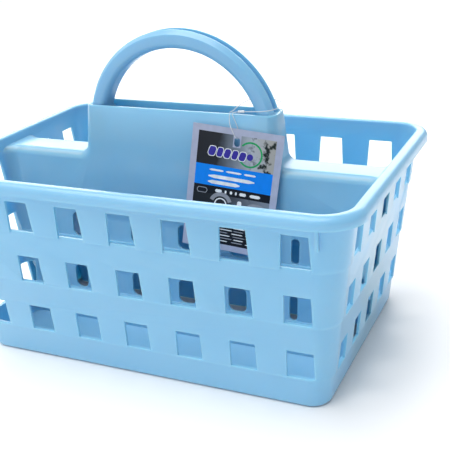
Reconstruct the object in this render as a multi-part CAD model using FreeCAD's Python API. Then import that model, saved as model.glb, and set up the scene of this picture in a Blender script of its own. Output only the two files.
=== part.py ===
import FreeCAD, Part
import math
import os
from FreeCAD import Placement, Rotation, Vector

# Cleaning caddy: an open moulded basket with a hollow divider down the middle, a tower on the divider,
# an arched handle plugged into the tower, and a card tag on a filament loop.
# Millimetres, +Z up. The origin is the middle of the basket's underside, +X along its length.

# Overall sizes
RIM_LENGTH = 338.0
RIM_WIDTH = 229.0
RIM_HEIGHT = 151.0
TOWER_TOP = 182.0
CROWN_HEIGHT = 239.0

# Basket walls
WALL = 2.0
FLOOR = 2.2
LONG_WALL_DRAFT = 0.058
END_WALL_DRAFT = 0.093
BAND_STEP = 1.0
BAND_DROP = 1.8
SILLS = (25.2, 68.7, 111.0)
CORNER_RADIUS_BASE = 15.0
CORNER_RADIUS_RIM = 22.0
BASE_EDGE_RADIUS = 4.0

# Rolled rim
RIM_REACH = 9.4
RIM_DEPTH = 8.6
RIM_SKIN = 2.4
RIM_OUTER_ROUND = 5.5
RIM_INNER_ROUND = 1.8

# Windows: heights and widths by row, from the lowest row up
WINDOW_HEIGHTS = (21.4, 21.6, 23.7)
LONG_WINDOW_SILL_WIDTHS = (20.5, 20.4, 21.3)
LONG_WINDOW_HEAD_WIDTHS = (19.4, 19.0, 18.7)
END_WINDOW_SILL_WIDTH = 17.0
END_WINDOW_HEAD_WIDTH = 15.6
LONG_PITCH = 42.4
END_PITCH = 35.1
OUTER_WINDOW_MARGIN = 5.0

# Corner ribs under the rim
RIB_WIDTH = 2.4
RIB_REACH = 2.2
RIB_DROP = 16.0
RIB_FROM_CORNER = 17.0

# Divider and its saddles
SADDLE_BELOW_RIM = 6.6
DIVIDER_DRAFT = 0.103
FLARE_RADIUS = 11.0
SADDLE_EDGE_ROUND = 7.0
DIVIDER_LEDGES = (29.5, 74.0)
DIVIDER_STEP = 1.5
DIVIDER_SLOTS = ((-93.0, 12.0), (-36.0, 15.5), (6.7, 15.5), (50.5, 15.5), (97.0, 6.5))
DIVIDER_SLOT_HEIGHT = 20.0
DIVIDER_SLOT_ROUND = 5.0

# Tower
TOWER_LENGTH = 158.6
TOWER_THICKNESS = 23.8
TOWER_END_DRAFT = 0.08
TOWER_FOOT_ROUND = 6.0
POCKET_CORNER_RADIUS = 5.0

# Sockets in the tower that hold the handle's feet
SOCKET_RIB = 2.0
SOCKET_RIB_BELOW_TOP = 6.0
SOCKET_RIB_HEIGHT = 24.0

# Handle
HANDLE_SECTION_HEIGHT = 13.2
HANDLE_GROOVE_WIDTH = 6.6
HANDLE_GROOVE_DEPTH = 8.0
HANDLE_UNDERSIDE_ROUND = 4.5
HANDLE_GROOVE_ROUND = 0.8
HANDLE_MOUTH_ROUND = 0.4
HANDLE_LIP = 1.2
HANDLE_SHOULDER_DROP = 2.8
HANDLE_SHOULDER_ROUND = 0.8
HANDLE_FOOT_LEDGE = 0.4
HANDLE_END_CLEARANCE = 0.3
HANDLE_SIDE_CLEARANCE = 1.1
FOOT_SIDE_CLEARANCE = 0.3
FOOT_RIB_CLEARANCE = 0.3
FOOT_BELOW_BARB = 3.0
BARB_HEIGHT = 4.5
BARB_REACH = 1.5
BARB_WIDTH = 8.0
BARB_CLEARANCE = 0.3
FOOT_SLIT = 4.0
FOOT_TONGUE = 3.2
FOOT_SLIT_BELOW_TOP = 14.0

# Card tag
TAG_WIDTH = 70.0
TAG_HEIGHT = 91.5
TAG_THICKNESS = 0.6
TAG_HOLE_WIDTH = 4.6
TAG_HOLE_HEIGHT = 6.6
TAG_HOLE_FROM_TOP = 9.6
TAG_FROM_TOWER_END = 26.3
TAG_BEFORE_TOWER = 4.1
TAG_BELOW_TOWER_TOP = 9.4
TAG_ROLL = 5.8
TAG_LEAN = 10.4
TAG_YAW = 4.9

# Filament loop that holds the tag
FILAMENT = 0.6
LOOP_CLEARANCE = 3.4
LOOP_LOCK_LENGTH = 4.6
LOOP_LOCK_DIAMETER = 2.2

BANDS = len(SILLS) + 1
RIM_HALF_LENGTH = RIM_LENGTH / 2
RIM_HALF_WIDTH = RIM_WIDTH / 2
SADDLE_TOP = RIM_HEIGHT - SADDLE_BELOW_RIM
TOWER_HALF_LENGTH = TOWER_LENGTH / 2
TOWER_HALF_THICKNESS = TOWER_THICKNESS / 2
TAG_FROM_MIDDLE = TOWER_HALF_LENGTH - TAG_FROM_TOWER_END
POCKET_HALF_LENGTH = TOWER_HALF_LENGTH - WALL
POCKET_HALF_WIDTH = TOWER_HALF_THICKNESS - WALL
OVER = 1.0


# ---------------------------------------------------------------- outlines and simple solids

def rounded_rectangle(half_x, half_y, radius, z):
    """A closed wire, counter-clockwise, at height z."""
    edges = []
    corners = ((1, -1), (1, 1), (-1, 1), (-1, -1))
    for index, (sx, sy) in enumerate(corners):
        centre = Vector(sx * (half_x - radius), sy * (half_y - radius), z)
        start = -90 + 90 * index
        first, middle, last = (
            centre + Vector(radius * math.cos(math.radians(a)), radius * math.sin(math.radians(a)), 0)
            for a in (start, start + 45, start + 90)
        )
        if edges:
            edges.append(Part.LineSegment(edges[-1].Vertexes[-1].Point, first).toShape())
        else:
            opening = first
        edges.append(Part.Arc(first, middle, last).toShape())
    edges.append(Part.LineSegment(edges[-1].Vertexes[-1].Point, opening).toShape())
    return Part.Wire(edges)


def tapered_block(low, high):
    """A solid between two rounded rectangles, each (half_x, half_y, radius, z)."""
    return Part.makeLoft([rounded_rectangle(*low), rounded_rectangle(*high)], True, True)


def box(x0, x1, y0, y1, z0, z1):
    return Part.makeBox(x1 - x0, y1 - y0, z1 - z0, Vector(x0, y0, z0))


def fuse_all(shapes):
    shapes = list(shapes)
    return shapes[0].fuse(shapes[1:]) if len(shapes) > 1 else shapes[0]


def one_solid(shape):
    """The single solid of a boolean's result, with its seams merged."""
    solids = shape.removeSplitter().Solids
    if len(solids) != 1:
        raise ValueError(f"{len(solids)} solids where one was meant")
    return solids[0]


def filleted_outline(points, plane):
    """A closed wire through (u, v, corner radius) points, put in space by plane(u, v)."""
    count = len(points)
    arcs = []
    for index in range(count):
        before = Vector(*points[index - 1][:2], 0)
        here = Vector(*points[index][:2], 0)
        after = Vector(*points[(index + 1) % count][:2], 0)
        radius = points[index][2]
        back = (before - here).normalize()
        on = (after - here).normalize()
        half_turn = back.getAngle(on) / 2
        reach = radius / math.tan(half_turn)
        bisector = (back + on).normalize()
        centre = here + bisector * (radius / math.sin(half_turn))
        arcs.append((here + back * reach, centre - bisector * radius, here + on * reach))
    edges = []
    for index, (first, middle, last) in enumerate(arcs):
        following = arcs[(index + 1) % count][0]
        edges.append(Part.Arc(*(plane(p.x, p.y) for p in (first, middle, last))).toShape())
        edges.append(Part.LineSegment(plane(last.x, last.y), plane(following.x, following.y)).toShape())
    return Part.Wire(edges)


# ---------------------------------------------------------------- basket

def wall_half_length(z, band):
    """Half the length over the end walls' outer faces at height z in one band."""
    steps = (BANDS - 1 - band) * BAND_STEP
    return RIM_HALF_LENGTH - RIM_REACH + WALL - END_WALL_DRAFT * (RIM_HEIGHT - z) - steps


def wall_half_width(z, band):
    steps = (BANDS - 1 - band) * BAND_STEP
    return RIM_HALF_WIDTH - RIM_REACH + WALL - LONG_WALL_DRAFT * (RIM_HEIGHT - z) - steps


def corner_radius(z):
    return CORNER_RADIUS_BASE + (CORNER_RADIUS_RIM - CORNER_RADIUS_BASE) * z / RIM_HEIGHT


def wall_block(band, z0, z1, inset):
    """The space inside one band's wall faces, moved inward by inset, from z0 to z1."""
    ends = []
    for z in (z0, z1):
        ends.append((wall_half_length(z, band) - inset, wall_half_width(z, band) - inset,
                     corner_radius(z) - inset, z))
    return tapered_block(*ends)


def band_bottom(band):
    return SILLS[band - 1] - BAND_DROP if band else 0.0


def band_top(band):
    return SILLS[band] if band < BANDS - 1 else RIM_HEIGHT


def outer_band(band):
    block = wall_block(band, band_bottom(band), band_top(band), 0.0)
    if band == 0:
        low = [e for e in block.Edges if e.BoundBox.ZMax < 0.01]
        block = block.makeFillet(BASE_EDGE_RADIUS, low)
    return block


def cavity():
    """The stepped space inside the walls, above the floor."""
    blocks = []
    for band in range(BANDS):
        z0 = SILLS[band - 1] if band else FLOOR
        z1 = SILLS[band] if band < BANDS - 1 else RIM_HEIGHT + OVER
        block = wall_block(band, z0, z1, WALL)
        if band == 0:
            low = [e for e in block.Edges if e.BoundBox.ZMax < FLOOR + 0.01]
            block = block.makeFillet(BASE_EDGE_RADIUS - WALL, low)
        blocks.append(block)
    return fuse_all(blocks)


def rim_block():
    """The rim before the cavity is cut out of it, with its underside channel open."""
    corner = CORNER_RADIUS_RIM + RIM_REACH - WALL
    bottom = RIM_HEIGHT - RIM_DEPTH
    roll = tapered_block((RIM_HALF_LENGTH, RIM_HALF_WIDTH, corner, bottom),
                         (RIM_HALF_LENGTH, RIM_HALF_WIDTH, corner, RIM_HEIGHT))
    top = [e for e in roll.Edges if e.BoundBox.ZMin > RIM_HEIGHT - 0.01]
    roll = roll.makeFillet(RIM_OUTER_ROUND, top)
    inside = (RIM_HALF_LENGTH - RIM_SKIN, RIM_HALF_WIDTH - RIM_SKIN, corner - RIM_SKIN)
    channel = tapered_block((*inside, bottom - OVER), (*inside, RIM_HEIGHT - RIM_SKIN))
    top = [e for e in channel.Edges if e.BoundBox.ZMin > RIM_HEIGHT - RIM_SKIN - 0.01]
    channel = channel.makeFillet(RIM_OUTER_ROUND - RIM_SKIN, top)
    wall = wall_block(BANDS - 1, bottom - 2 * OVER, RIM_HEIGHT, 0.0)
    return roll.cut(channel.cut(wall))


def columns(straight, pitch, width):
    """Places along a wall, symmetric about its middle, whose windows stay on its straight part."""
    room = straight / 2 - width / 2
    count = int(room // pitch)
    return [pitch * i for i in range(-count, count + 1)]


def window_tool(centre, row, sill_width, head_width, along, reach):
    """A tapered prism that cuts one window, along X or Y, reaching past the wall on both sides."""
    z0 = SILLS[row]
    z1 = z0 + WINDOW_HEIGHTS[row]
    outline = [(-sill_width / 2, z0), (sill_width / 2, z0), (head_width / 2, z1), (-head_width / 2, z1)]
    inner, outer = reach
    if along == "X":
        wire = Part.makePolygon([Vector(centre + u, inner, z) for u, z in outline + outline[:1]])
        return Part.Face(wire).extrude(Vector(0, outer - inner, 0))
    wire = Part.makePolygon([Vector(inner, centre + u, z) for u, z in outline + outline[:1]])
    return Part.Face(wire).extrude(Vector(outer - inner, 0, 0))


def lip_tool(centre, row, width, along, reach):
    """A block below one window that takes the next band's lip away across the window's width."""
    inner, outer = reach
    z0 = SILLS[row] - BAND_DROP - OVER
    z1 = SILLS[row] + OVER / 2
    if along == "X":
        return box(centre - width / 2, centre + width / 2, inner, outer, z0, z1)
    return box(inner, outer, centre - width / 2, centre + width / 2, z0, z1)


def window_cuts():
    """Every window in the four walls, with the gap in the lip below each."""
    windows = []
    lips = []
    for row in range(len(SILLS)):
        z = SILLS[row]
        half_x = wall_half_length(z, row + 1)
        half_y = wall_half_width(z, row + 1)
        base_x = 2 * (wall_half_length(SILLS[0], 0) - OUTER_WINDOW_MARGIN)
        base_y = 2 * (wall_half_width(SILLS[0], 0) - OUTER_WINDOW_MARGIN)
        width = LONG_WINDOW_SILL_WIDTHS[row]
        reach_y = (half_y - 4 * WALL, half_y + 3 * WALL)
        reach_x = (half_x - 4 * WALL, half_x + 3 * WALL)
        for x in columns(base_x, LONG_PITCH, LONG_WINDOW_SILL_WIDTHS[0]):
            windows.append(window_tool(x, row, width, LONG_WINDOW_HEAD_WIDTHS[row], "X", reach_y))
            lips.append(lip_tool(x, row, width, "X", reach_y))
        for y in columns(base_y, END_PITCH, END_WINDOW_SILL_WIDTH):
            windows.append(window_tool(y, row, END_WINDOW_SILL_WIDTH, END_WINDOW_HEAD_WIDTH, "Y", reach_x))
            lips.append(lip_tool(y, row, END_WINDOW_SILL_WIDTH, "Y", reach_x))
    lower_walls = fuse_all(wall_block(b, band_bottom(b), band_top(b), 0.0) for b in range(BANDS - 1))
    lips = Part.makeCompound(lips).cut(lower_walls)
    one_side = Part.makeCompound(windows + lips.Solids)
    half_turn = one_side.copy()
    half_turn.rotate(Vector(0, 0, 0), Vector(0, 0, 1), 180)
    return one_side, half_turn


def corner_ribs():
    """Small upright ribs under the rim at the ends of the long walls."""
    ribs = []
    band = BANDS - 1
    top = RIM_HEIGHT - RIM_SKIN
    low = RIM_HEIGHT - RIM_DEPTH - RIB_DROP
    for sx in (-1, 1):
        for sy in (-1, 1):
            x = sx * (wall_half_length(low, band) - RIB_FROM_CORNER)
            face_low = wall_half_width(low, band)
            face_top = wall_half_width(top, band)
            profile = [Vector(x - RIB_WIDTH / 2, sy * (face_low - WALL / 2), low),
                       Vector(x - RIB_WIDTH / 2, sy * (face_low + RIB_REACH), low),
                       Vector(x - RIB_WIDTH / 2, sy * (face_top + RIB_REACH), top),
                       Vector(x - RIB_WIDTH / 2, sy * (face_top - WALL / 2), top)]
            face = Part.Face(Part.makePolygon(profile + profile[:1]))
            ribs.append(face.extrude(Vector(RIB_WIDTH, 0, 0)))
    return ribs


# ---------------------------------------------------------------- divider and tower

def divider_half_width(z, ledges):
    """Half the divider's thickness at height z, where that many ledges are above it."""
    return TOWER_HALF_THICKNESS + DIVIDER_DRAFT * (TOWER_TOP - z) + DIVIDER_STEP * ledges


def divider_outline(z, ledges, band):
    """The divider in plan at height z, flared into the end walls and running a little into them."""
    half = divider_half_width(z, ledges)
    end = wall_half_length(z, band) - WALL
    flare = FLARE_RADIUS
    bite = WALL / 2
    diagonal = flare * math.sqrt(0.5)
    edges = []
    for sign in (1, -1):
        def at(x, y):
            return Vector(sign * x, sign * y, z)
        points = [at(end + bite, -(half + flare)), at(end + bite, half + flare), at(end, half + flare)]
        for a, b in zip(points, points[1:]):
            edges.append(Part.LineSegment(a, b).toShape())
        middle = at(end - flare + diagonal, half + flare - diagonal)
        edges.append(Part.Arc(points[-1], middle, at(end - flare, half)).toShape())
        edges.append(Part.LineSegment(at(end - flare, half), at(-(end - flare), half)).toShape())
        middle = at(-(end - flare + diagonal), half + flare - diagonal)
        last = at(-end, half + flare)
        edges.append(Part.Arc(at(-(end - flare), half), middle, last).toShape())
        edges.append(Part.LineSegment(last, at(-(end + bite), half + flare)).toShape())
    return Part.Wire(edges)


def core_outline(z, ledges, band):
    """The divider's hollow in plan: one wall inside its outline, and up to the end walls' faces."""
    half = divider_half_width(z, ledges)
    end = wall_half_length(z, band) - WALL
    flare = FLARE_RADIUS
    outer = flare + WALL
    drop = math.sqrt(outer ** 2 - flare ** 2)
    turn = math.asin(flare / outer) / 2
    edges = []
    for sign in (1, -1):
        def at(x, y):
            return Vector(sign * x, sign * y, z)
        first = at(end, half + flare - drop)
        middle = at(end - flare + outer * math.sin(turn), half + flare - outer * math.cos(turn))
        last = at(end - flare, half - WALL)
        edges.append(Part.LineSegment(at(end, -(half + flare - drop)), first).toShape())
        edges.append(Part.Arc(first, middle, last).toShape())
        edges.append(Part.LineSegment(last, at(-(end - flare), half - WALL)).toShape())
        middle = at(-(end - flare + outer * math.sin(turn)), half + flare - outer * math.cos(turn))
        edges.append(Part.Arc(at(-(end - flare), half - WALL), middle,
                              at(-end, half + flare - drop)).toShape())
    return Part.Wire(edges)


def tower_half_sizes(z):
    down = TOWER_TOP - z
    return TOWER_HALF_LENGTH + TOWER_END_DRAFT * down, TOWER_HALF_THICKNESS + DIVIDER_DRAFT * down


def tower_block(z0, z1, inset):
    """The tower's square-cornered outer shape, moved inward by inset."""
    outlines = []
    for z in (z0, z1):
        x, y = (half - inset for half in tower_half_sizes(z))
        outlines.append(Part.makePolygon([Vector(x, -y, z), Vector(x, y, z), Vector(-x, y, z),
                                          Vector(-x, -y, z), Vector(x, -y, z)]))
    return Part.makeLoft(outlines, True, True)


def tower_pocket():
    """The tower's open pocket, down into the divider's hollow."""
    ends = []
    for z in (SADDLE_TOP - WALL - OVER, TOWER_TOP + OVER):
        x, y = tower_half_sizes(z)
        ends.append((x - WALL, y - WALL, POCKET_CORNER_RADIUS, z))
    return tapered_block(*ends)


def divider_levels():
    """(ledges above, wall band, bottom, top) for each stretch of the divider with one plan."""
    heights = sorted([0.0, SADDLE_TOP, *SILLS, *DIVIDER_LEDGES])
    levels = []
    for bottom, top in zip(heights, heights[1:]):
        ledges = sum(1 for z in DIVIDER_LEDGES if z > bottom)
        band = sum(1 for z in SILLS if z <= bottom)
        levels.append((ledges, band, bottom, top))
    return levels


def divider_outside():
    """The divider and tower as one solid, with the saddles' edges and the tower's feet rounded."""
    lofts = []
    for ledges, band, bottom, top in divider_levels():
        outlines = [divider_outline(z, ledges, band) for z in (bottom, top)]
        loft = Part.makeLoft(outlines, True, True)
        lofts.append(with_tower(loft) if top == SADDLE_TOP else loft)
    return fuse_all(lofts)


def edges_of(shape, wanted):
    return [edge for edge in shape.Edges if wanted(edge.BoundBox)]


def with_tower(loft):
    """The divider's top stretch with the tower on it, its foot and its edges rounded."""
    solid = one_solid(loft.fuse(tower_block(SADDLE_TOP - OVER, TOWER_TOP, 0.0)))
    foot = edges_of(solid, lambda b: b.ZMin > SADDLE_TOP - 0.01 and b.ZMax < SADDLE_TOP + 0.01
                    and b.XMax - b.XMin < 0.01 and abs(b.XMin) < TOWER_HALF_LENGTH + TOWER_FOOT_ROUND)
    solid = solid.makeFillet(TOWER_FOOT_ROUND, foot)
    end = wall_half_length(SADDLE_TOP, BANDS - 1) - WALL
    rim = edges_of(solid, lambda b: b.ZMin > SADDLE_TOP - 0.01 and b.YMax * b.YMin > 0
                   and b.XMax < end + 0.1 and b.XMin > -end - 0.1 and b.ZMin < TOWER_TOP - 0.01)
    return solid.makeFillet(SADDLE_EDGE_ROUND, rim)


def divider_hollow():
    """The core inside the divider, open at the basket's underside, and the tower's open pocket."""
    lofts = []
    for ledges, band, bottom, top in divider_levels():
        low = bottom - WALL if bottom else -OVER
        outlines = [core_outline(z, ledges, band) for z in (low, top - WALL)]
        lofts.append(Part.makeLoft(outlines, True, True))
    lofts.append(tower_pocket())
    return fuse_all(lofts)


def divider_slots():
    """Rounded slots through both divider walls, in the two lower window rows."""
    slots = []
    half_width = divider_half_width(0.0, len(DIVIDER_LEDGES)) + OVER
    for low in DIVIDER_LEDGES:
        high = low + DIVIDER_SLOT_HEIGHT
        for x, width in DIVIDER_SLOTS:
            left = x - width / 2
            right = x + width / 2
            radius = min(DIVIDER_SLOT_ROUND, width / 2 - 0.01)
            outline = [(left, low, radius), (right, low, radius), (right, high, radius), (left, high, radius)]
            wire = filleted_outline(outline, lambda u, v: Vector(u, -half_width, v))
            slots.append(Part.Face(wire).extrude(Vector(0, 2 * half_width, 0)))
    return slots


def leg_angle():
    """How far above level, about the arch's centre, each leg ends: its outer corner is at the tower's top."""
    centre, outer = handle_circle()
    return math.degrees(math.asin((TOWER_TOP - centre) / outer))


def foot_inner_face():
    """Where the handle's foot ends towards the middle, just past the arch's inner face."""
    centre, outer = handle_circle()
    return math.sqrt((outer - HANDLE_SECTION_HEIGHT) ** 2 - (TOWER_TOP - centre) ** 2) - HANDLE_FOOT_LEDGE


def socket_ribs():
    """Cross ribs in the tower that close the two sockets and catch the handle's barbs."""
    top = TOWER_TOP - SOCKET_RIB_BELOW_TOP
    outer = foot_inner_face() - FOOT_RIB_CLEARANCE
    ribs = []
    for sign in (-1, 1):
        x0, x1 = sorted((sign * outer, sign * (outer - SOCKET_RIB)))
        block = box(x0, x1, -TOWER_THICKNESS, TOWER_THICKNESS, top - SOCKET_RIB_HEIGHT, top)
        ribs.append(block.common(tower_block(SADDLE_TOP - 4 * WALL, TOWER_TOP, WALL / 2)))
    return ribs


def make_basket():
    bands = [outer_band(band) for band in range(BANDS)]
    envelope = fuse_all(bands + [rim_block()] + corner_ribs())
    shell = envelope.cut(cavity())
    inner_top = []
    half = RIM_HALF_LENGTH - RIM_REACH
    for edge in shell.Edges:
        bounds = edge.BoundBox
        if bounds.ZMin > RIM_HEIGHT - 0.01 and bounds.XMax < half + 0.1 and bounds.XMin > -half - 0.1:
            inner_top.append(edge)
    shell = shell.makeFillet(RIM_INNER_ROUND, inner_top)
    shell = shell.fuse(divider_outside())
    shell = shell.cut(divider_hollow())
    shell = shell.fuse(socket_ribs())
    one_side, half_turn = window_cuts()
    shell = shell.cut([one_side, half_turn] + divider_slots())
    return one_solid(shell)


# ---------------------------------------------------------------- handle

def handle_circle():
    """Height of the arch's centre and its outer radius: the legs fill the pocket at the tower's top."""
    rise = CROWN_HEIGHT - TOWER_TOP
    half_span = POCKET_HALF_LENGTH - HANDLE_END_CLEARANCE - HANDLE_FOOT_LEDGE
    drop = (half_span ** 2 - rise ** 2) / (2 * rise)
    return TOWER_TOP - drop, rise + drop


def make_handle():
    centre, outer = handle_circle()
    inner = outer - HANDLE_SECTION_HEIGHT
    half_depth = POCKET_HALF_WIDTH - HANDLE_SIDE_CLEARANCE
    groove = HANDLE_GROOVE_WIDTH / 2
    lip = groove + HANDLE_LIP
    shoulder = outer - HANDLE_SHOULDER_DROP
    floor = outer - HANDLE_GROOVE_DEPTH
    section = [
        (inner, -half_depth, HANDLE_UNDERSIDE_ROUND),
        (shoulder, -half_depth, HANDLE_SHOULDER_ROUND),
        (outer, -lip, HANDLE_SHOULDER_ROUND),
        (outer, -groove, HANDLE_MOUTH_ROUND),
        (floor, -groove, HANDLE_GROOVE_ROUND),
        (floor, groove, HANDLE_GROOVE_ROUND),
        (outer, groove, HANDLE_MOUTH_ROUND),
        (outer, lip, HANDLE_SHOULDER_ROUND),
        (shoulder, half_depth, HANDLE_SHOULDER_ROUND),
        (inner, half_depth, HANDLE_UNDERSIDE_ROUND),
    ]
    start = math.radians(leg_angle())
    wire = filleted_outline(section, lambda u, v: Vector(u * math.cos(start), v, centre + u * math.sin(start)))
    arch = Part.Face(wire).revolve(Vector(0, 0, centre), Vector(0, -1, 0), 180 - 2 * leg_angle())
    feet = []
    for turn in (0, 180):
        foot = handle_foot()
        foot.rotate(Vector(0, 0, 0), Vector(0, 0, 1), turn)
        feet.append(foot)
    return one_solid(arch.fuse(feet))


def handle_foot():
    """One leg below the arch's end: a shouldered tenon with a sprung, barbed tongue."""
    centre, outer = handle_circle()
    half_depth = POCKET_HALF_WIDTH - FOOT_SIDE_CLEARANCE
    outer_face = POCKET_HALF_LENGTH - HANDLE_END_CLEARANCE
    inner_face = foot_inner_face()
    rib_top = TOWER_TOP - SOCKET_RIB_BELOW_TOP
    rib_bottom = rib_top - SOCKET_RIB_HEIGHT
    bottom = rib_bottom - BARB_CLEARANCE - BARB_HEIGHT - FOOT_BELOW_BARB
    middle = (outer_face + inner_face) / 2
    half_run = (outer_face - inner_face) / 2
    corner = POCKET_CORNER_RADIUS
    tenon = tapered_block((half_run, half_depth, corner, bottom), (half_run, half_depth, corner, TOWER_TOP))
    tenon.translate(Vector(middle, 0, 0))
    shoulder = box(inner_face - FOOT_RIB_CLEARANCE - SOCKET_RIB, middle,
                   -half_depth + corner, half_depth - corner, rib_top, TOWER_TOP)
    slit_x = inner_face + FOOT_TONGUE
    slit = box(slit_x, slit_x + FOOT_SLIT, -half_depth - OVER, half_depth + OVER,
               bottom - OVER, TOWER_TOP - FOOT_SLIT_BELOW_TOP)
    barb_top = rib_bottom - BARB_CLEARANCE
    tip = inner_face - FOOT_RIB_CLEARANCE - BARB_REACH
    profile = [Vector(inner_face + OVER, -BARB_WIDTH / 2, barb_top),
               Vector(tip, -BARB_WIDTH / 2, barb_top),
               Vector(inner_face + OVER, -BARB_WIDTH / 2, barb_top - BARB_HEIGHT)]
    barb = Part.Face(Part.makePolygon(profile + profile[:1])).extrude(Vector(0, BARB_WIDTH, 0))
    above = box(0, 2 * outer, -TOWER_THICKNESS, TOWER_THICKNESS, centre, centre + 2 * outer)
    above.rotate(Vector(0, 0, centre), Vector(0, 1, 0), -leg_angle())
    return tenon.fuse([shoulder, barb]).cut([slit, above])


# ---------------------------------------------------------------- tag and its loop

def tag_placement():
    """From the tag's own frame (X right, Z up, its top middle at the origin) to where it hangs."""
    turn = Rotation(Vector(0, 0, 1), TAG_YAW).multiply(Rotation(Vector(1, 0, 0), -TAG_LEAN))
    turn = turn.multiply(Rotation(Vector(0, 1, 0), TAG_ROLL))
    front = TOWER_HALF_THICKNESS + TAG_BEFORE_TOWER
    return Placement(Vector(TAG_FROM_MIDDLE, -front, TOWER_TOP - TAG_BELOW_TOWER_TOP), turn)


def make_tag():
    half = TAG_THICKNESS / 2
    card = box(-TAG_WIDTH / 2, TAG_WIDTH / 2, -half, half, -TAG_HEIGHT, 0)
    radius = TAG_HOLE_WIDTH / 2 - 0.01
    left, right = -TAG_HOLE_WIDTH / 2, TAG_HOLE_WIDTH / 2
    low = -TAG_HOLE_FROM_TOP - TAG_HOLE_HEIGHT / 2
    high = low + TAG_HOLE_HEIGHT
    outline = [(u, v, radius) for u, v in ((left, low), (right, low), (right, high), (left, high))]
    wire = filleted_outline(outline, lambda u, v: Vector(u, -1, v))
    card = card.cut(Part.Face(wire).extrude(Vector(0, 2, 0)))
    card.Placement = tag_placement()
    return one_solid(card)


def lower_route():
    """The filament from the tower's edge down before the card, through its hole and up behind it."""
    offsets = (
        (-8.0, -1.2, 0.3), (-7.8, -2.9, -3.6), (-6.2, -4.9, -7.6), (-3.2, -6.9, -11.8), (-1.0, -7.2, -16.2),
        (-0.2, -3.1, -16.2), (-0.8, -2.5, -12.2), (-2.0, -2.1, -7.6), (-4.0, -1.8, -3.4), (-5.8, -1.3, 0.3),
    )
    return [Vector(TAG_FROM_MIDDLE + x, y - TOWER_HALF_THICKNESS, TOWER_TOP + z) for x, y, z in offsets]


def upper_route():
    """The filament from the tower's edge through the lock, round the handle's leg and back."""
    centre, outer = handle_circle()
    inner = outer - HANDLE_SECTION_HEIGHT
    half_depth = POCKET_HALF_WIDTH - HANDLE_SIDE_CLEARANCE
    side = half_depth + LOOP_CLEARANCE
    far = math.sqrt(outer ** 2 - (TOWER_TOP + 4.5 - centre) ** 2)
    near = math.sqrt(inner ** 2 - (TOWER_TOP + 8.0 - centre) ** 2)
    front = -TOWER_HALF_THICKNESS
    left = TAG_FROM_MIDDLE - 5.8
    points = (
        (left, front - 0.9, 1.3), (left + 3.4, front - 0.1, 2.0), (left + 9.8, front + 0.5, 2.4),
        (near + 5.0, -side, 2.8), (far - 4.4, -side, 3.4), (far + 1.2, -side + 1.8, 4.0),
        (far + LOOP_CLEARANCE + 0.7, -side + 6.4, 4.4), (far + LOOP_CLEARANCE + 0.9, 0.4, 4.8),
        (far + LOOP_CLEARANCE + 0.2, side - 5.0, 5.4), (far - 2.2, side - 0.4, 6.0), (near + 7.0, side, 6.8),
        (near + 1.4, side - 1.6, 7.6), (near - LOOP_CLEARANCE - 0.3, side - 6.0, 8.0),
        (near - LOOP_CLEARANCE - 1.0, -0.6, 8.0), (near - LOOP_CLEARANCE - 2.6, -5.8, 7.2),
        (near - LOOP_CLEARANCE - 6.0, front + 2.2, 5.0), (left + 0.6, front - 0.1, 2.7),
        (left - 2.2, front - 0.8, 1.3),
    )
    return [Vector(x, y, TOWER_TOP + z) for x, y, z in points]


def filament(points):
    """A round filament of straight runs and tangent arcs through the route's points."""
    edges = []
    here = points[0]
    for before, corner, after in zip(points, points[1:], points[2:]):
        back = (before - corner).normalize()
        on = (after - corner).normalize()
        reach = 0.45 * min((before - corner).Length, (after - corner).Length)
        start = corner + back * reach
        end = corner + on * reach
        half_turn = (math.pi - back.getAngle(on)) / 2
        radius = reach / math.tan(half_turn)
        centre = corner + (back + on).normalize() * (radius / math.cos(half_turn))
        middle = centre + (corner - centre).normalize() * radius
        edges.append(Part.LineSegment(here, start).toShape())
        edges.append(Part.Arc(start, middle, end).toShape())
        here = end
        print(f"filament bend radius {radius:.1f} mm, turn {math.degrees(2 * half_turn):.0f} degrees")
    edges.append(Part.LineSegment(here, points[-1]).toShape())
    path = Part.Wire(edges)
    along = (points[1] - points[0]).normalize()
    ring = Part.Wire(Part.Circle(points[0], along, FILAMENT / 2).toShape())
    tube = path.makePipeShell([ring], True, False, 1)
    ratio = tube.Volume / (path.Length * math.pi * FILAMENT ** 2 / 4)
    print(f"filament length {path.Length:.1f} mm, volume over section times length {ratio:.3f}")
    return tube.Solids[0]


def make_loop_lock():
    """The small barrel that the filament's two ends are locked in, threaded on the loop."""
    start, end = upper_route()[1:3]
    along = (end - start).normalize()
    middle = (start + end) * 0.5
    foot = middle - along * (LOOP_LOCK_LENGTH / 2)
    barrel = Part.makeCylinder(LOOP_LOCK_DIAMETER / 2, LOOP_LOCK_LENGTH, foot, along)
    barrel = barrel.makeFillet(LOOP_LOCK_DIAMETER / 5, [e for e in barrel.Edges if e.Closed])
    bore = Part.makeCylinder(FILAMENT / 2 + 0.05, LOOP_LOCK_LENGTH + 2 * OVER, foot - along * OVER, along)
    return one_solid(barrel.cut(bore))


# ---------------------------------------------------------------- all pieces

def main():
    os.makedirs("parts", exist_ok=True)
    pieces = {
        "basket": make_basket(),
        "handle": make_handle(),
        "hang_tag": make_tag(),
        "tag_loop_lower": filament(lower_route()),
        "tag_loop_upper": filament(upper_route()),
        "tag_loop_lock": make_loop_lock(),
    }
    for name, shape in pieces.items():
        if not shape.isValid():
            raise ValueError(f"{name} isn't a valid solid")
        print(f"{name}: {shape.Volume / 1000:.2f} cm3, {len(shape.Faces)} faces")
        shape.exportStep(f"parts/{name}.step")


main()
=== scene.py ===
import math

import bmesh
import bpy
from mathutils import Matrix, Vector


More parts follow.
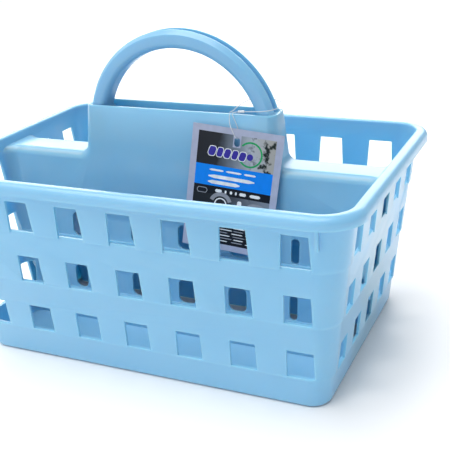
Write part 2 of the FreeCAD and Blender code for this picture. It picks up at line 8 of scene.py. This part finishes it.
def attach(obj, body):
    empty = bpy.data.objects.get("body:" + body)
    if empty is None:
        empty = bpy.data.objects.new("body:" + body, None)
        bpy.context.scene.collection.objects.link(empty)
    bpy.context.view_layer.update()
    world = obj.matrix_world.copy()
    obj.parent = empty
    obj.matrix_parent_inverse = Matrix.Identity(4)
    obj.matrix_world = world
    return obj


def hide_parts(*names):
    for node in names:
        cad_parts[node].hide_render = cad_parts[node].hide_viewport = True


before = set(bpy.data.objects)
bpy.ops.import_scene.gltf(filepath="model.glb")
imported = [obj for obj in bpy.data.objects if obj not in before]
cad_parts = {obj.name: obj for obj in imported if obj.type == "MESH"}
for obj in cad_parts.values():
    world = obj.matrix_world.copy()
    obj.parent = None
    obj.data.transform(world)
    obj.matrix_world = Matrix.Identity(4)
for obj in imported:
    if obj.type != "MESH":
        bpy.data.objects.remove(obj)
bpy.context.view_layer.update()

MM = 0.001

# Camera: where it stands in metres, how it is turned in degrees, and its lens in millimetres
CAMERA_PLACE = Vector((0.2905, -0.5500, 0.3351))
CAMERA_YAW = -24.56
CAMERA_PITCH = 26.58
CAMERA_ROLL = -2.95
CAMERA_LENS = 66.0
CAMERA_SHIFT = (-0.0304, 0.1450)

# Colours of the plastic and of the card's inks, linear
BLUE_LIGHT = (0.260, 0.545, 0.785)
BLUE_DEEP = (0.230, 0.520, 0.765)
SILVER = (0.42, 0.46, 0.60)
BAND_BLUE = (0.001, 0.24, 0.88)
INK_WHITE = (0.85, 0.88, 0.90)
INK_GREY = (0.30, 0.32, 0.36)
INK_VIOLET = (0.045, 0.035, 0.33)
INK_GREEN = (0.02, 0.36, 0.12)
INK_BLACK = (0.006, 0.008, 0.013)

# The card tag, in millimetres: across from its left edge and down from its top edge
CARD_WIDTH = 70.0
CARD_HEIGHT = 91.5
CARD_THICKNESS = 0.6
CARD_HOLE = (35.0, 9.6)
CARD_HOLE_SIZE = (4.6, 6.6)
CARD_TOP_MIDDLE = Vector((53.0, -16.0, 172.6))
CARD_LEAN = 10.4
CARD_YAW = 4.9
CARD_ROLL = 5.8
CARD_BOW = 0.9

# The filament loop's two stretches, each by its route's points, and the lock's middle and direction
FILAMENT = 0.6
LOWER_ROUTE = ((45.0, -13.1, 182.3), (45.2, -14.8, 178.4), (46.8, -16.8, 174.4), (49.8, -18.8, 170.2),
               (52.0, -19.1, 165.8), (52.8, -15.0, 165.8), (52.2, -14.4, 169.8), (51.0, -14.0, 174.4),
               (49.0, -13.7, 178.6), (47.2, -13.2, 182.3))
UPPER_ROUTE = ((47.2, -12.8, 183.3), (50.6, -12.0, 184.0), (57.0, -11.4, 184.4), (64.15, -12.2, 184.8),
               (70.7, -12.2, 185.4), (76.3, -10.4, 186.0), (79.2, -5.8, 186.4), (79.4, 0.4, 186.8),
               (78.7, 7.2, 187.4), (72.9, 11.8, 188.0), (66.15, 12.2, 188.8), (60.55, 10.6, 189.6),
               (55.45, 6.2, 190.0), (54.75, -0.6, 190.0), (53.15, -5.8, 189.2), (49.75, -9.7, 187.0),
               (47.8, -12.0, 184.7), (45.0, -12.7, 183.3))
LOCK_LENGTH = 4.6
LOCK_DIAMETER = 2.2


# ---------------------------------------------------------------- materials

def new_material(name):
    material = bpy.data.materials.new(name)
    material.use_nodes = True
    tree = material.node_tree
    return material, tree, tree.nodes["Principled BSDF"]


def noise(tree, scale, detail, roughness=0.5, stretch=None):
    """Noise over the row frame's own coordinates, in features per metre."""
    coordinates = tree.nodes.new("ShaderNodeTexCoord").outputs["Object"]
    if stretch is not None:
        mapping = tree.nodes.new("ShaderNodeMapping")
        mapping.inputs["Scale"].default_value = stretch
        tree.links.new(coordinates, mapping.inputs["Vector"])
        coordinates = mapping.outputs["Vector"]
    node = tree.nodes.new("ShaderNodeTexNoise")
    node.inputs["Scale"].default_value = scale
    node.inputs["Detail"].default_value = detail
    node.inputs["Roughness"].default_value = roughness
    tree.links.new(coordinates, node.inputs["Vector"])
    return node.outputs["Fac"]


def ramp(tree, value, stops):
    """A colour ramp from (position, colour) stops."""
    node = tree.nodes.new("ShaderNodeValToRGB")
    elements = node.color_ramp.elements
    while len(elements) < len(stops):
        elements.new(0.5)
    for element, (position, colour) in zip(elements, stops):
        element.position = position
        element.color = (*colour, 1)
    tree.links.new(value, node.inputs["Fac"])
    return node.outputs["Color"]


def remap(tree, value, low, high, to_low, to_high):
    node = tree.nodes.new("ShaderNodeMapRange")
    for name, number in (("From Min", low), ("From Max", high), ("To Min", to_low), ("To Max", to_high)):
        node.inputs[name].default_value = number
    tree.links.new(value, node.inputs["Value"])
    return node.outputs["Result"]


def mix(tree, factor, first, second):
    node = tree.nodes.new("ShaderNodeMix")
    node.data_type = "RGBA"
    for socket, value in ((node.inputs[0], factor), (node.inputs[6], first), (node.inputs[7], second)):
        if isinstance(value, tuple):
            socket.default_value = (*value, 1)
        else:
            tree.links.new(value, socket)
    return node.outputs[2]


def bump(tree, shader, height, distance, strength, under=None):
    node = tree.nodes.new("ShaderNodeBump")
    node.inputs["Distance"].default_value = distance
    node.inputs["Strength"].default_value = strength
    tree.links.new(height, node.inputs["Height"])
    if under is not None:
        tree.links.new(under, node.inputs["Normal"])
    tree.links.new(node.outputs["Normal"], shader.inputs["Normal"])
    return node.outputs["Normal"]


def moulded_plastic(name, stretch):
    """Glossy moulded polypropylene: faint flow clouds, a worn haze, sink ripples and a fine mould grain."""
    material, tree, shader = new_material(name)
    flow = noise(tree, 14.0, 1.0, 0.4, stretch)
    tint = ramp(tree, flow, ((0.15, BLUE_DEEP), (0.85, BLUE_LIGHT)))
    tree.links.new(tint, shader.inputs["Base Color"])
    haze = remap(tree, noise(tree, 20.0, 1.0, 0.4), 0.1, 0.9, 0.285, 0.36)
    tree.links.new(haze, shader.inputs["Roughness"])
    shader.inputs["Subsurface Weight"].default_value = 0.60
    shader.inputs["Subsurface Radius"].default_value = (0.5, 0.9, 1.0)
    shader.inputs["Subsurface Scale"].default_value = 0.006
    shader.inputs["IOR"].default_value = 1.49
    shader.inputs["Coat Weight"].default_value = 0.35
    shader.inputs["Coat Roughness"].default_value = 0.16
    ripples = bump(tree, shader, noise(tree, 22.0, 1.0), 0.0008, 0.10)
    bump(tree, shader, noise(tree, 2600.0, 3.0), 0.00003, 0.20, ripples)
    return material


def ink(name, colour, roughness=0.42, wander=0.12):
    """Printed ink under a coat: the colour wanders a little and the coat has a faint orange peel."""
    material, tree, shader = new_material(name)
    darker = tuple(c * (1 - wander) for c in colour)
    lighter = tuple(min(1.0, c * (1 + wander)) for c in colour)
    tint = ramp(tree, noise(tree, 180.0, 3.0), ((0.3, darker), (0.7, lighter)))
    tree.links.new(tint, shader.inputs["Base Color"])
    tree.links.new(remap(tree, noise(tree, 320.0, 2.0), 0.3, 0.7, roughness - 0.06, roughness + 0.08),
                   shader.inputs["Roughness"])
    shader.inputs["Specular IOR Level"].default_value = 0.22
    bump(tree, shader, noise(tree, 900.0, 2.0), 0.00003, 0.25)
    return material


def picture(name, stops, spots, spot_colour):
    """A blurred printed picture: a gradient across the card with soft dark blotches."""
    material, tree, shader = new_material(name)
    uv = tree.nodes.new("ShaderNodeUVMap")
    uv.uv_map = "card"
    split = tree.nodes.new("ShaderNodeSeparateXYZ")
    tree.links.new(uv.outputs["UV"], split.inputs["Vector"])
    wobble = tree.nodes.new("ShaderNodeMath")
    wobble.operation = "MULTIPLY_ADD"
    tree.links.new(noise(tree, 60.0, 3.0), wobble.inputs[0])
    wobble.inputs[1].default_value = 0.25
    tree.links.new(split.outputs["X"], wobble.inputs[2])
    base = ramp(tree, wobble.outputs["Value"], stops)
    low, high = spots
    blotch = remap(tree, noise(tree, 150.0, 4.0, 0.6), low, high, 0.0, 1.0)
    edge = remap(tree, wobble.outputs["Value"], 0.72, 0.86, 0.0, 1.0)
    both = tree.nodes.new("ShaderNodeMath")
    both.operation = "MULTIPLY"
    tree.links.new(blotch, both.inputs[0])
    tree.links.new(edge, both.inputs[1])
    tree.links.new(mix(tree, both.outputs["Value"], base, spot_colour), shader.inputs["Base Color"])
    shader.inputs["Roughness"].default_value = 0.4
    shader.inputs["Specular IOR Level"].default_value = 0.22
    bump(tree, shader, noise(tree, 900.0, 2.0), 0.00003, 0.25)
    return material


def clear_filament(name, colour, transmission):
    material, tree, shader = new_material(name)
    cloud = noise(tree, 700.0, 2.0)
    tree.links.new(ramp(tree, cloud, ((0.3, colour), (0.7, tuple(min(1, c * 1.06) for c in colour)))),
                   shader.inputs["Base Color"])
    shader.inputs["Transmission Weight"].default_value = transmission
    shader.inputs["Roughness"].default_value = 0.25
    shader.inputs["IOR"].default_value = 1.53
    bump(tree, shader, noise(tree, 1500.0, 2.0), 0.00002, 0.2)
    return material


# ---------------------------------------------------------------- basket and handle

def softened(node, name, material, width):
    """A copy of a moulded CAD node with its sharp edges rounded as a mould leaves them."""
    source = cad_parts[node]
    mesh = source.data.copy()
    mesh.name = name
    piece = bpy.data.objects.new(name, mesh)
    bpy.context.scene.collection.objects.link(piece)
    shape = bmesh.new()
    shape.from_mesh(mesh)
    bmesh.ops.remove_doubles(shape, verts=shape.verts, dist=1e-6)
    bmesh.ops.dissolve_limit(shape, angle_limit=math.radians(0.3), verts=shape.verts, edges=shape.edges)
    shape.to_mesh(mesh)
    shape.free()
    mesh.materials.clear()
    mesh.materials.append(material)
    bevel = piece.modifiers.new("soft_edges", "BEVEL")
    bevel.width = width
    bevel.segments = 2
    bevel.limit_method = "ANGLE"
    bevel.angle_limit = math.radians(32)
    bevel.harden_normals = True
    bevel.use_clamp_overlap = True
    mesh.shade_smooth()
    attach(piece, "caddy")
    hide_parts(node)
    return piece


# ---------------------------------------------------------------- card tag

def card_to_world():
    turn = (Matrix.Rotation(math.radians(CARD_YAW), 4, "Z") @ Matrix.Rotation(math.radians(-CARD_LEAN), 4, "X")
            @ Matrix.Rotation(math.radians(CARD_ROLL), 4, "Y"))
    return Matrix.Translation(CARD_TOP_MIDDLE * MM) @ turn


def card_point(across, down, lift):
    """A point in the card's own frame, in metres: it bows a little, and lift is how far in front of its face."""
    side = 2 * across / CARD_WIDTH - 1
    bow = CARD_BOW * side ** 2 * (down / CARD_HEIGHT)
    return Vector((across - CARD_WIDTH / 2, -CARD_THICKNESS / 2 - lift - bow, -down)) * MM


class Print:
    """Flat inked shapes on the card's face, gathered in one mesh with one material for each ink."""

    def __init__(self, name):
        self.name = name
        self.shape = bmesh.new()
        self.uv = self.shape.loops.layers.uv.new("card")
        self.inks = []

    def strip(self, lower, upper, material, layer):
        """Faces between two rows of (across, down) points."""
        if material not in self.inks:
            self.inks.append(material)
        lift = 0.02 + 0.02 * layer
        rows = [[self.shape.verts.new(card_point(*p, lift)) for p in row] for row in (lower, upper)]
        for i in range(len(lower) - 1):
            corners = ((rows[0][i], lower[i]), (rows[0][i + 1], lower[i + 1]),
                       (rows[1][i + 1], upper[i + 1]), (rows[1][i], upper[i]))
            face = self.shape.faces.new([v for v, _ in corners])
            face.material_index = self.inks.index(material)
            for loop, (_, (across, down)) in zip(face.loops, corners):
                loop[self.uv].uv = (across / CARD_WIDTH, 1 - down / CARD_HEIGHT)

    def bar(self, left, top, right, bottom, material, layer, slant=0.0, steps=8):
        """A rectangle with softly rounded ends, slanted by the given millimetres."""
        radius = min(0.35 * (bottom - top), 0.35 * (right - left))
        upper, lower = [], []
        for i in range(steps + 1):
            across = left + (right - left) * i / steps
            near = min(across - left, right - across)
            trim = radius - math.sqrt(max(0.0, radius ** 2 - max(0.0, radius - near) ** 2))
            upper.append((across + slant, top + trim))
            lower.append((across, bottom - trim))
        self.strip(lower, upper, material, layer)

    def panel(self, left, top, right, bottom, material, layer, steps=10):
        line = [left + (right - left) * i / steps for i in range(steps + 1)]
        self.strip([(x, bottom) for x in line], [(x, top) for x in line], material, layer)

    def arc(self, centre, radius, stroke, start, end, material, layer, squash=1.0, steps=40):
        angles = [math.radians(start + (end - start) * i / steps) for i in range(steps + 1)]
        rows = []
        for r in (radius + stroke / 2, max(0.0, radius - stroke / 2)):
            rows.append([(centre[0] + r * math.cos(a), centre[1] - squash * r * math.sin(a)) for a in angles])
        self.strip(rows[0], rows[1], material, layer)

    def finish(self):
        mesh = bpy.data.meshes.new(self.name)
        self.shape.normal_update()
        self.shape.to_mesh(mesh)
        self.shape.free()
        for material in self.inks:
            mesh.materials.append(material)
        piece = bpy.data.objects.new(self.name, mesh)
        piece.matrix_world = card_to_world()
        bpy.context.scene.collection.objects.link(piece)
        return piece


def make_card(face_material):
    """The card: a gently bowed sheet with a punched oval hole."""
    shape = bmesh.new()
    across_steps, down_steps = 28, 36
    hole_x, hole_y = CARD_HOLE
    half_w, half_h = (s / 2 for s in CARD_HOLE_SIZE)
    patch = 8.0
    grid = {}

    def vertex(across, down):
        key = (round(across, 4), round(down, 4))
        if key not in grid:
            grid[key] = shape.verts.new(card_point(across, down, 0.0))
        return grid[key]

    columns = sorted({CARD_WIDTH * i / across_steps for i in range(across_steps + 1)
                      if abs(CARD_WIDTH * i / across_steps - hole_x) > patch}
                     | {hole_x - patch, hole_x + patch, hole_x})
    rows = sorted({CARD_HEIGHT * i / down_steps for i in range(down_steps + 1)
                   if abs(CARD_HEIGHT * i / down_steps - hole_y) > patch}
                  | {0.0, hole_y - patch, hole_y + patch, hole_y})
    for left, right in zip(columns, columns[1:]):
        for top, bottom in zip(rows, rows[1:]):
            beside_hole = left >= hole_x - patch and right <= hole_x + patch
            if beside_hole and top >= hole_y - patch and bottom <= hole_y + patch:
                continue
            shape.faces.new([vertex(left, bottom), vertex(right, bottom), vertex(right, top), vertex(left, top)])
    frame_points = [(hole_x + patch, hole_y), (hole_x + patch, hole_y + patch), (hole_x, hole_y + patch),
                    (hole_x - patch, hole_y + patch), (hole_x - patch, hole_y), (hole_x - patch, hole_y - patch),
                    (hole_x, hole_y - patch), (hole_x + patch, hole_y - patch)]
    ring = 32
    oval = []
    for i in range(ring):
        angle = 2 * math.pi * i / ring
        straight = half_h - half_w
        down = hole_y + half_w * math.sin(angle) + math.copysign(straight, math.sin(angle))
        oval.append((hole_x + half_w * math.cos(angle), down))
    per_side = ring // 8
    for i in range(ring):
        here, after = oval[i], oval[(i + 1) % ring]
        side = i // per_side
        corner, following = frame_points[side], frame_points[(side + 1) % 8]
        shape.faces.new([vertex(*here), vertex(*after), vertex(*corner)])
        if i % per_side == per_side - 1:
            shape.faces.new([vertex(*after), vertex(*following), vertex(*corner)])
    mesh = bpy.data.meshes.new("tag_card")
    shape.to_mesh(mesh)
    shape.free()
    mesh.materials.append(face_material)
    card = bpy.data.objects.new("tag_card", mesh)
    card.matrix_world = card_to_world()
    bpy.context.scene.collection.objects.link(card)
    thick = card.modifiers.new("board", "SOLIDIFY")
    thick.thickness = CARD_THICKNESS * MM
    thick.offset = -1
    return card


def print_card():
    """Everything inked on the card's face. Bars and simple shapes stand where a real tag has words."""
    art = Print("tag_print")
    black = ink("ink_black", INK_BLACK, 0.38)
    white = ink("ink_white", INK_WHITE)
    grey = ink("ink_grey", INK_GREY)
    violet = ink("ink_violet", INK_VIOLET)
    green = ink("ink_green", INK_GREEN)
    blue = ink("ink_blue", BAND_BLUE, 0.36, 0.05)
    room = picture("picture_room", ((0.0, (0.012, 0.013, 0.018)), (0.45, (0.02, 0.024, 0.032)),
                                    (0.62, (0.16, 0.20, 0.25)), (0.80, (0.45, 0.50, 0.56)),
                                    (1.0, (0.40, 0.40, 0.38))), (0.50, 0.60), (0.012, 0.022, 0.02))
    shelf = picture("picture_shelf", ((0.0, (0.008, 0.009, 0.012)), (0.55, (0.02, 0.024, 0.03)),
                                      (0.75, (0.12, 0.14, 0.17)), (1.0, (0.22, 0.26, 0.31))),
                    (0.6, 0.7), (0.02, 0.025, 0.03))
    left, right = 5.0, 64.8
    hole_left, hole_right = CARD_HOLE[0] - 3.0, CARD_HOLE[0] + 3.0
    hole_bottom = CARD_HOLE[1] + CARD_HOLE_SIZE[1] / 2 + 0.6
    art.panel(left, 4.6, hole_left, hole_bottom, room, 0)
    art.panel(hole_right, 4.6, right, hole_bottom, room, 0)
    art.panel(left, hole_bottom, right, 28.6, room, 0)
    art.panel(left, 28.6, right, 44.0, blue, 0)
    art.panel(left, 44.0, right, 50.0, black, 0)
    art.panel(left, 50.0, right, 64.0, shelf, 0)
    art.panel(left, 64.0, right, 87.0, black, 0)
    art.arc((46.0, 17.3), 8.8, 1.3, -150, 140, green, 1)
    for i, (x, width) in enumerate(((13.6, 5.4), (20.2, 4.4), (25.8, 4.8), (31.8, 4.4), (37.4, 5.0))):
        art.bar(x - 0.5, 14.4 + 0.3 * i, x + width + 0.5, 22.2 + 0.2 * i, white, 2, 0.8)
        art.bar(x, 14.9 + 0.3 * i, x + width, 21.7 + 0.2 * i, violet, 3, 0.8)
    art.arc((46.0, 19.0), 1.2, 2.4, 0, 360, violet, 3)
    for left_end, right_end in ((16.0, 27.0), (29.0, 41.0), (43.0, 52.0)):
        art.bar(left_end, 31.4, right_end, 32.8, white, 1)
    art.bar(15.6, 35.6, 51.5, 38.2, white, 1)
    art.bar(15.6, 39.8, 40.5, 42.4, white, 1)
    art.bar(7.6, 46.0, 15.8, 50.2, grey, 1)
    art.bar(8.1, 46.5, 15.3, 49.7, black, 2)
    for x, width in ((22.0, 5.2), (29.5, 1.4), (33.6, 1.8), (37.6, 1.4), (41.0, 5.2), (49.0, 8.2)):
        art.bar(x, 46.0, x + width, 48.3, white, 1)
    art.arc((27.0, 57.0), 7.6, 3.0, 20, 160, grey, 1)
    art.arc((27.0, 57.0), 4.4, 0.9, 0, 180, white, 1)
    art.arc((55.0, 55.5), 3.6, 7.2, 0, 360, grey, 1, 0.42)
    art.bar(40.0, 52.4, 43.4, 58.0, white, 1)
    art.bar(40.0, 55.8, 43.4, 58.0, blue, 2)
    for row in range(9):
        down = 66.5 + 2.2 * row
        art.bar(9.0, down, 14.0, down + 0.7, white, 1)
        for i in range(4):
            x = 16.0 + 11.0 * i + (row * 37 % 5) * 0.5
            art.bar(x, down, x + 8.0 + (row + i) % 3, down + 0.7, white if (row + i) % 2 else grey, 1)
    return art.finish()


# ---------------------------------------------------------------- tag loop

def strand(name, points, material):
    """A round filament along a smooth curve through the route's control points, in millimetres."""
    curve = bpy.data.curves.new(name, "CURVE")
    curve.dimensions = "3D"
    spline = curve.splines.new("NURBS")
    spline.points.add(len(points) - 1)
    for place, point in zip(spline.points, points):
        place.co = (*(Vector(point) * MM), 1)
    spline.order_u = 3
    spline.use_endpoint_u = True
    curve.resolution_u = 12
    curve.bevel_depth = FILAMENT / 2 * MM
    curve.bevel_resolution = 4
    curve.use_fill_caps = True
    piece = bpy.data.objects.new(name, curve)
    bpy.context.scene.collection.objects.link(piece)
    curve.materials.append(material)
    return piece


def make_lock(name, material):
    """The snap lock: a small waisted barrel with a collar at each end and a seam round its middle."""
    start, end = (Vector(p) for p in UPPER_ROUTE[1:3])
    middle = (start + end) / 2
    axis = (end - start).normalized()
    side = axis.orthogonal().normalized()
    other = axis.cross(side)
    half, radius = LOCK_LENGTH / 2, LOCK_DIAMETER / 2
    profile = ((-half, 0.42), (-half, 0.75), (-0.92 * half, 0.93), (-0.60 * half, 0.93), (-0.52 * half, 0.80),
               (-0.12 * half, 0.96), (-0.06 * half, 0.80), (0.06 * half, 0.80), (0.12 * half, 0.96),
               (0.52 * half, 0.80), (0.60 * half, 0.93), (0.92 * half, 0.93), (half, 0.75), (half, 0.42))
    steps = 28
    shape = bmesh.new()
    rings = []
    for along, share in profile:
        ring = []
        for i in range(steps):
            angle = 2 * math.pi * i / steps
            out = (side * math.cos(angle) + other * math.sin(angle)) * radius * share
            ring.append(shape.verts.new((middle + axis * along + out) * MM))
        rings.append(ring)
    for first, second in zip(rings, rings[1:]):
        for i in range(steps):
            j = (i + 1) % steps
            shape.faces.new([first[i], first[j], second[j], second[i]])
    shape.faces.new(rings[0][::-1])
    shape.faces.new(rings[-1])
    bmesh.ops.recalc_face_normals(shape, faces=shape.faces)
    mesh = bpy.data.meshes.new(name)
    shape.to_mesh(mesh)
    shape.free()
    mesh.materials.append(material)
    mesh.shade_smooth()
    piece = bpy.data.objects.new(name, mesh)
    bpy.context.scene.collection.objects.link(piece)
    return piece


# ---------------------------------------------------------------- stage

def add_floor():
    bpy.ops.mesh.primitive_plane_add(size=12.0, location=(0, 0, 0))
    floor = bpy.context.object
    floor.name = "floor"
    material, tree, shader = new_material("floor")
    cloud = noise(tree, 3.0, 2.0)
    colour = ramp(tree, cloud, ((0.3, (0.955, 0.958, 0.965)), (0.7, (0.97, 0.972, 0.975))))
    tree.links.new(colour, shader.inputs["Base Color"])
    shader.inputs["Roughness"].default_value = 0.5
    floor.data.materials.append(material)


def area_light(name, place, target, size, power, colour=(1, 1, 1)):
    data = bpy.data.lights.new(name, "AREA")
    data.shape = "RECTANGLE"
    data.size, data.size_y = size
    data.energy = power
    data.color = colour
    light = bpy.data.objects.new(name, data)
    light.location = place
    light.rotation_euler = (Vector(target) - Vector(place)).to_track_quat("-Z", "Y").to_euler()
    bpy.context.scene.collection.objects.link(light)


def add_light():
    world = bpy.data.worlds.new("studio")
    world.use_nodes = True
    background = world.node_tree.nodes["Background"]
    background.inputs["Color"].default_value = (1.0, 1.0, 1.0, 1)
    background.inputs["Strength"].default_value = 0.45
    bpy.context.scene.world = world
    bpy.context.scene.view_settings.view_transform = "Standard"
    sun = bpy.data.lights.new("softbox", "SUN")
    sun.energy = 2.45
    sun.angle = math.radians(55)
    light = bpy.data.objects.new("softbox", sun)
    light.rotation_euler = Vector((0.28, 0.20, -1.0)).to_track_quat("-Z", "Y").to_euler()
    bpy.context.scene.collection.objects.link(light)
    area_light("back", (-0.6, 1.5, 0.85), (0, 0, 0.12), (2.2, 0.8), 17.0)
    area_light("strip", (-0.5, -1.1, 0.55), (0, 0, 0.12), (1.0, 0.25), 1.0)


def point_camera():
    yaw, pitch, roll = (math.radians(a) for a in (CAMERA_YAW, CAMERA_PITCH, CAMERA_ROLL))
    forward = Vector((math.sin(yaw) * math.cos(pitch), math.cos(yaw) * math.cos(pitch), -math.sin(pitch)))
    right = Vector((math.cos(yaw), -math.sin(yaw), 0))
    up = right.cross(forward)
    tilted_right = math.cos(roll) * right + math.sin(roll) * up
    tilted_up = math.cos(roll) * up - math.sin(roll) * right
    data = bpy.data.cameras.new("camera")
    data.lens = CAMERA_LENS
    data.sensor_width = 36.0
    data.shift_x, data.shift_y = CAMERA_SHIFT
    camera = bpy.data.objects.new("camera", data)
    turn = Matrix((tilted_right, tilted_up, -forward)).transposed().to_4x4()
    camera.matrix_world = Matrix.Translation(CAMERA_PLACE) @ turn
    bpy.context.scene.collection.objects.link(camera)
    bpy.context.scene.camera = camera


# ---------------------------------------------------------------- build

basket = softened("basket", "basket_shell", moulded_plastic("basket_plastic", (1, 1, 2.5)), 0.3 * MM)
handle = softened("handle", "handle_grip", moulded_plastic("handle_plastic", (2.5, 1, 1)), 0.25 * MM)

card = make_card(ink("card_silver", SILVER, 0.36, 0.06))
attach(card, "tag")
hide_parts("hang_tag")
art = print_card()
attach(art, "tag")

strand_clear = clear_filament("strand_clear", (0.84, 0.88, 0.91), 0.35)
lower = strand("loop_lower", LOWER_ROUTE, strand_clear)
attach(lower, "tag")
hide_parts("tag_loop_lower")
lock = make_lock("loop_lock", clear_filament("lock_clear", (0.86, 0.90, 0.93), 0.15))
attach(lock, "caddy")
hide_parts("tag_loop_lock")
upper = strand("loop_upper", UPPER_ROUTE, strand_clear)
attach(upper, "caddy")
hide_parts("tag_loop_upper")

add_floor()
add_light()
point_camera()
